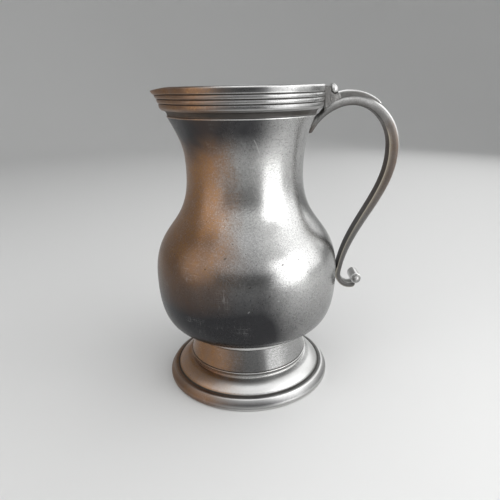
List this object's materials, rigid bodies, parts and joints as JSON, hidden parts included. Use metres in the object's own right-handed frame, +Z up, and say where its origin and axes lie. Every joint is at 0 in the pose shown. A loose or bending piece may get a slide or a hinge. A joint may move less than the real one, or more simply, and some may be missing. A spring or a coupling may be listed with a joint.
{
  "type": "pitcher",
  "caption": "Pewter pitcher with a round-bellied turned body, reeded mouth drawn out into a pouring lip, stepped round foot and an S-shaped strap handle with a scrolled end.",
  "frame": {"origin": "bottom centre of the whole outline, on the plane the foot stands on", "axes": "+Z up along the body's axis, +X towards the handle, -X towards the pouring lip, +Y across the handle's plane"},
  "size_m": [0.1386, 0.105, 0.1703],
  "materials": {
    "pewter_body": "satin, fine sandy grain, light scratches",
    "pewter_rim": "satin, turned, dark grooves",
    "pewter_foot": "satin to bright, worn edges",
    "pewter_handle": "satin, hand-filed, brownish patina"
  },
  "bodies": {
    "root": {"mouth_rim": "pewter_rim", "neck_shell": "pewter_body", "belly_bowl": "pewter_body", "foot_collar": "pewter_foot", "foot_base": "pewter_foot", "handle_strap": "pewter_handle", "handle_lug": "pewter_handle", "handle_tongue": "pewter_handle", "thumb_bead": "pewter_handle", "scroll_roll": "pewter_handle", "scroll_button_near": "pewter_handle", "scroll_button_far": "pewter_handle"}
  },
  "joints": []
}
